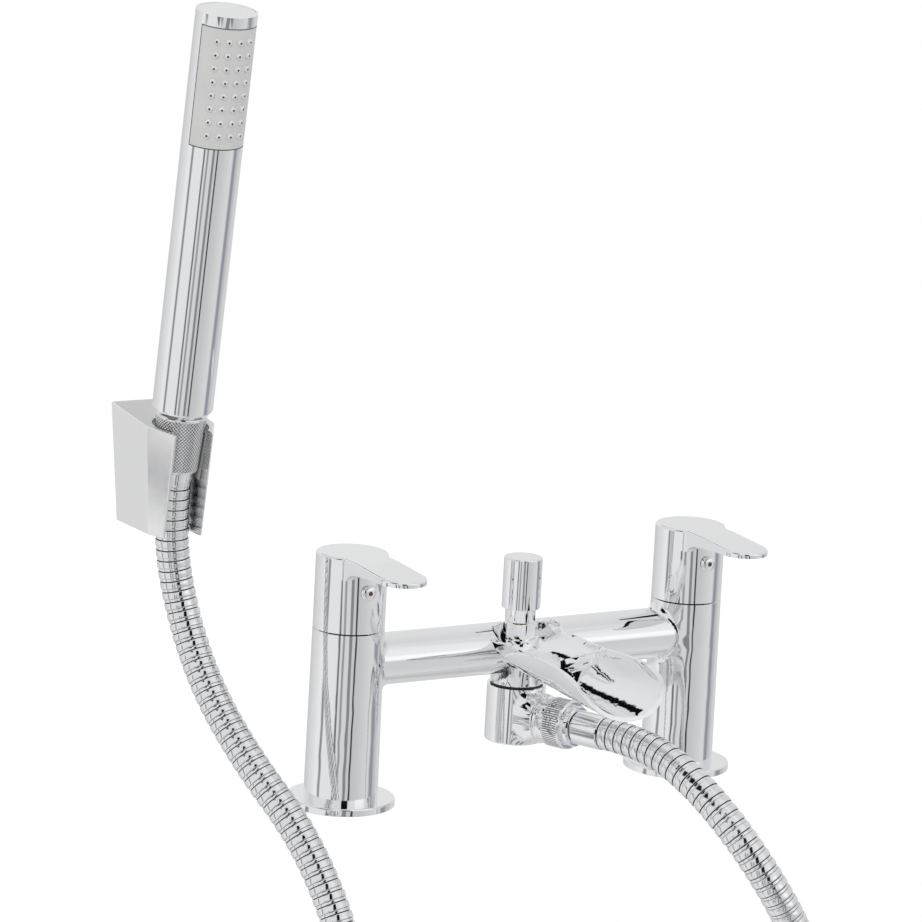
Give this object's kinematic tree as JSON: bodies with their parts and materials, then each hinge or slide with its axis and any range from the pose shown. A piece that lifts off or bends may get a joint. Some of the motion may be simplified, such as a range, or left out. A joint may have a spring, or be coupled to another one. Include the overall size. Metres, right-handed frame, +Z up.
{
  "type": "bath shower mixer",
  "caption": "Deck-mounted lever bath mixer with an open waterfall spout, a pull-up diverter, a hose and a pencil handset on a wall bracket.",
  "frame": {"origin": "on the deck plane, midway between the two pillars' centres", "axes": "X along the bridge with the handset at -X, -Y to the front where the spout and levers point, +Z up, tails pointing to -Z"},
  "size_m": [0.3208, 0.1961, 0.761],
  "materials": {
    "chrome": "polished chrome plate",
    "brass": "plain machined brass",
    "rubber": "matt black rubber",
    "white_plastic": "glossy white plastic",
    "grey_plastic": "matt grey plastic",
    "nozzle_rubber": "pale grey silicone rubber",
    "ceramic": "ground white ceramic",
    "steel": "plain stainless steel",
    "hose_metal": "chromed double-lock hose",
    "dot_hot": "red print",
    "dot_cold": "blue print"
  },
  "bodies": {
    "mixer": {"left_base_flange": "chrome", "left_base_seal": "rubber", "left_inlet_tail": "brass", "left_deck_washer": "rubber", "left_back_nut": "brass", "left_cartridge_seat": "rubber", "left_cartridge_body": "brass", "left_fixed_disc": "ceramic", "right_base_flange": "chrome", "right_base_seal": "rubber", "right_inlet_tail": "brass", "right_deck_washer": "rubber", "right_back_nut": "brass", "right_cartridge_seat": "rubber", "right_cartridge_body": "brass", "right_fixed_disc": "ceramic", "mixer_body": "chrome", "diverter_sleeve": "chrome", "diverter_spring": "steel", "outlet_body": "chrome", "outlet_plug": "chrome", "outlet_o_ring": "rubber", "hose_nut": "chrome", "lower_washer": "rubber", "lower_ferrule": "chrome", "shower_hose": "hose_metal", "bracket_liner": "grey_plastic", "bracket_body": "chrome", "wall_plate": "steel", "clamp_screw": "steel"},
    "left_lever": {"left_lever_handle": "chrome", "left_spindle": "brass", "left_turning_disc": "ceramic", "left_index_button": "white_plastic", "left_index_dot": "dot_hot", "left_grub_screw": "steel"},
    "right_lever": {"right_lever_handle": "chrome", "right_spindle": "brass", "right_turning_disc": "ceramic", "right_index_button": "white_plastic", "right_index_dot": "dot_cold", "right_grub_screw": "steel"},
    "diverter": {"diverter_knob": "chrome", "diverter_rod": "brass", "diverter_valve": "rubber"},
    "handset_nut": {"cone_nut": "chrome", "upper_ferrule": "chrome", "upper_washer": "rubber"},
    "handset": {"handset_tube": "chrome", "spray_plate": "grey_plastic", "spray_nozzles": "nozzle_rubber", "handset_end_cap": "chrome", "handset_inlet": "brass"}
  },
  "joints": [
    {"name": "left_lever_turn", "type": "hinge", "parent": "mixer", "child": "left_lever", "pos_m": [-0.09, 0, 0.1], "axis": [0, 0, 1], "range_deg": [-90, 0]},
    {"name": "right_lever_turn", "type": "hinge", "parent": "mixer", "child": "right_lever", "pos_m": [0.09, 0, 0.1], "axis": [0, 0, 1], "range_deg": [0, 90]},
    {"name": "diverter_lift", "type": "slide", "parent": "mixer", "child": "diverter", "axis": [0, 0, 1], "range_m": [0, 0.0055], "stiffness_N_per_m": 200, "springref_m": -0.01, "deforming": ["diverter_spring"]},
    {"name": "handset_lift", "type": "slide", "parent": "mixer", "child": "handset_nut", "axis": [0, -0.1392, 0.9903], "range_m": [0, 0.06]},
    {"name": "handset_turn", "type": "hinge", "parent": "handset_nut", "child": "handset", "pos_m": [-0.1675, 0.021, 0.1797], "axis": [0, -0.1392, 0.9903], "range_deg": [-90, 90]}
  ]
}
